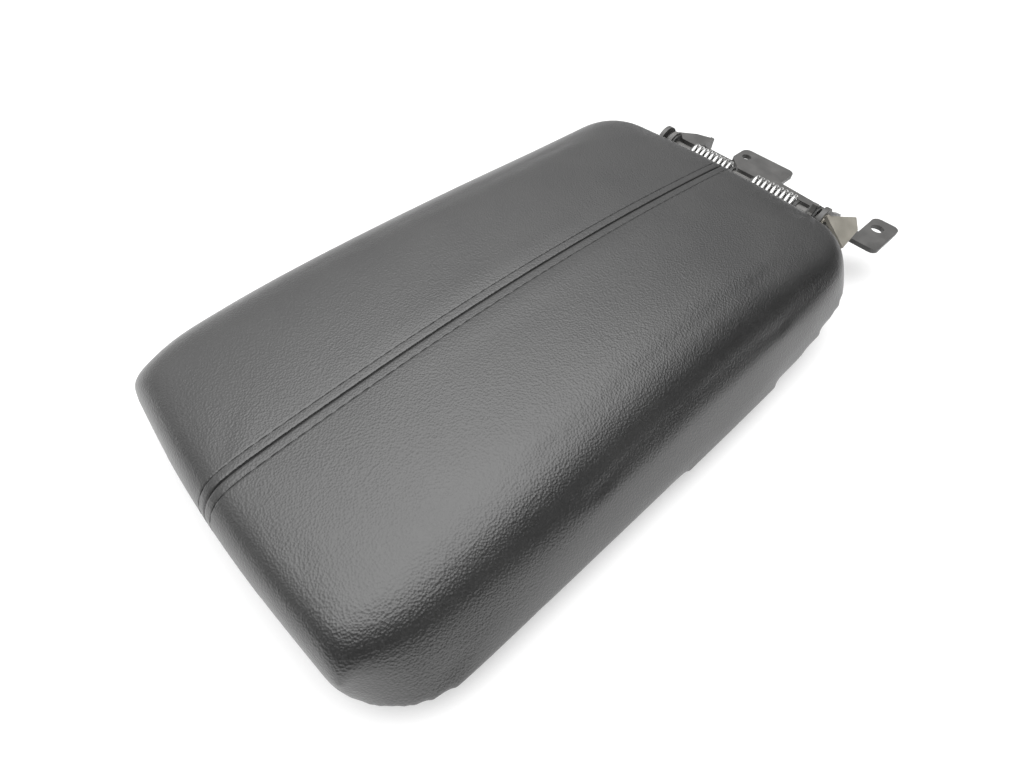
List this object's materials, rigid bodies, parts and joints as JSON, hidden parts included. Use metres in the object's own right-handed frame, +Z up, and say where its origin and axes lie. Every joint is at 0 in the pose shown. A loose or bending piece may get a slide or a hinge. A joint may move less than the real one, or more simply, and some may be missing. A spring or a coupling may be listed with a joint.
{
  "type": "car armrest",
  "caption": "Padded centre console lid armrest: leather cover with one long topstitched seam, moulded inner panel, lift latch and a sprung steel hinge with bolt tabs.",
  "frame": {"origin": "middle of the part's box, on the surface that the inner panel's rim stands on", "axes": "+Z up, -Y towards the pad's front edge, +Y towards the hinge, +X to the right seen from the front"},
  "size_m": [0.1962, 0.362, 0.0545],
  "materials": {
    "leather": "fine pebble grain, satin",
    "foam": "open-cell foam",
    "core_plastic": "moulded, matt",
    "liner_plastic": "fine grained, matt",
    "zinc_steel": "zinc plated, dull",
    "spring_steel": "bright drawn",
    "black_steel": "black dip coat, satin",
    "rubber": "matt",
    "bush_plastic": "self-lubricating plastic"
  },
  "bodies": {
    "bracket": {"hinge_bracket": "black_steel", "hinge_gusset": "zinc_steel", "hinge_pin": "spring_steel", "pin_clip_left": "black_steel", "pin_clip_right": "black_steel", "spring_left": "spring_steel", "spring_right": "spring_steel", "spring_sleeve_left": "bush_plastic", "spring_sleeve_right": "bush_plastic"},
    "lid": {"cover_left": "leather", "cover_right": "leather", "foam_pad": "foam", "lid_core": "core_plastic", "lid_liner": "liner_plastic", "liner_screws": "zinc_steel", "bumper_left": "rubber", "bumper_right": "rubber", "latch_pin": "zinc_steel", "latch_spring": "spring_steel", "hinge_leaf": "black_steel", "leaf_screws": "zinc_steel", "knuckle_bush_left": "bush_plastic", "knuckle_bush_right": "bush_plastic"},
    "latch": {"latch_lever": "liner_plastic"}
  },
  "joints": [
    {"name": "lid_hinge", "type": "hinge", "parent": "bracket", "child": "lid", "pos_m": [0, 0.13, 0.036], "axis": [-1, 0, 0], "range_deg": [0, 90], "stiffness_Nm_per_rad": 0.6, "springref_deg": -74.48},
    {"name": "latch_turn", "type": "hinge", "parent": "lid", "child": "latch", "pos_m": [0, -0.151, 0.004], "axis": [1, 0, 0], "range_deg": [-10, 0], "stiffness_Nm_per_rad": 0.08, "springref_deg": 17.19}
  ]
}
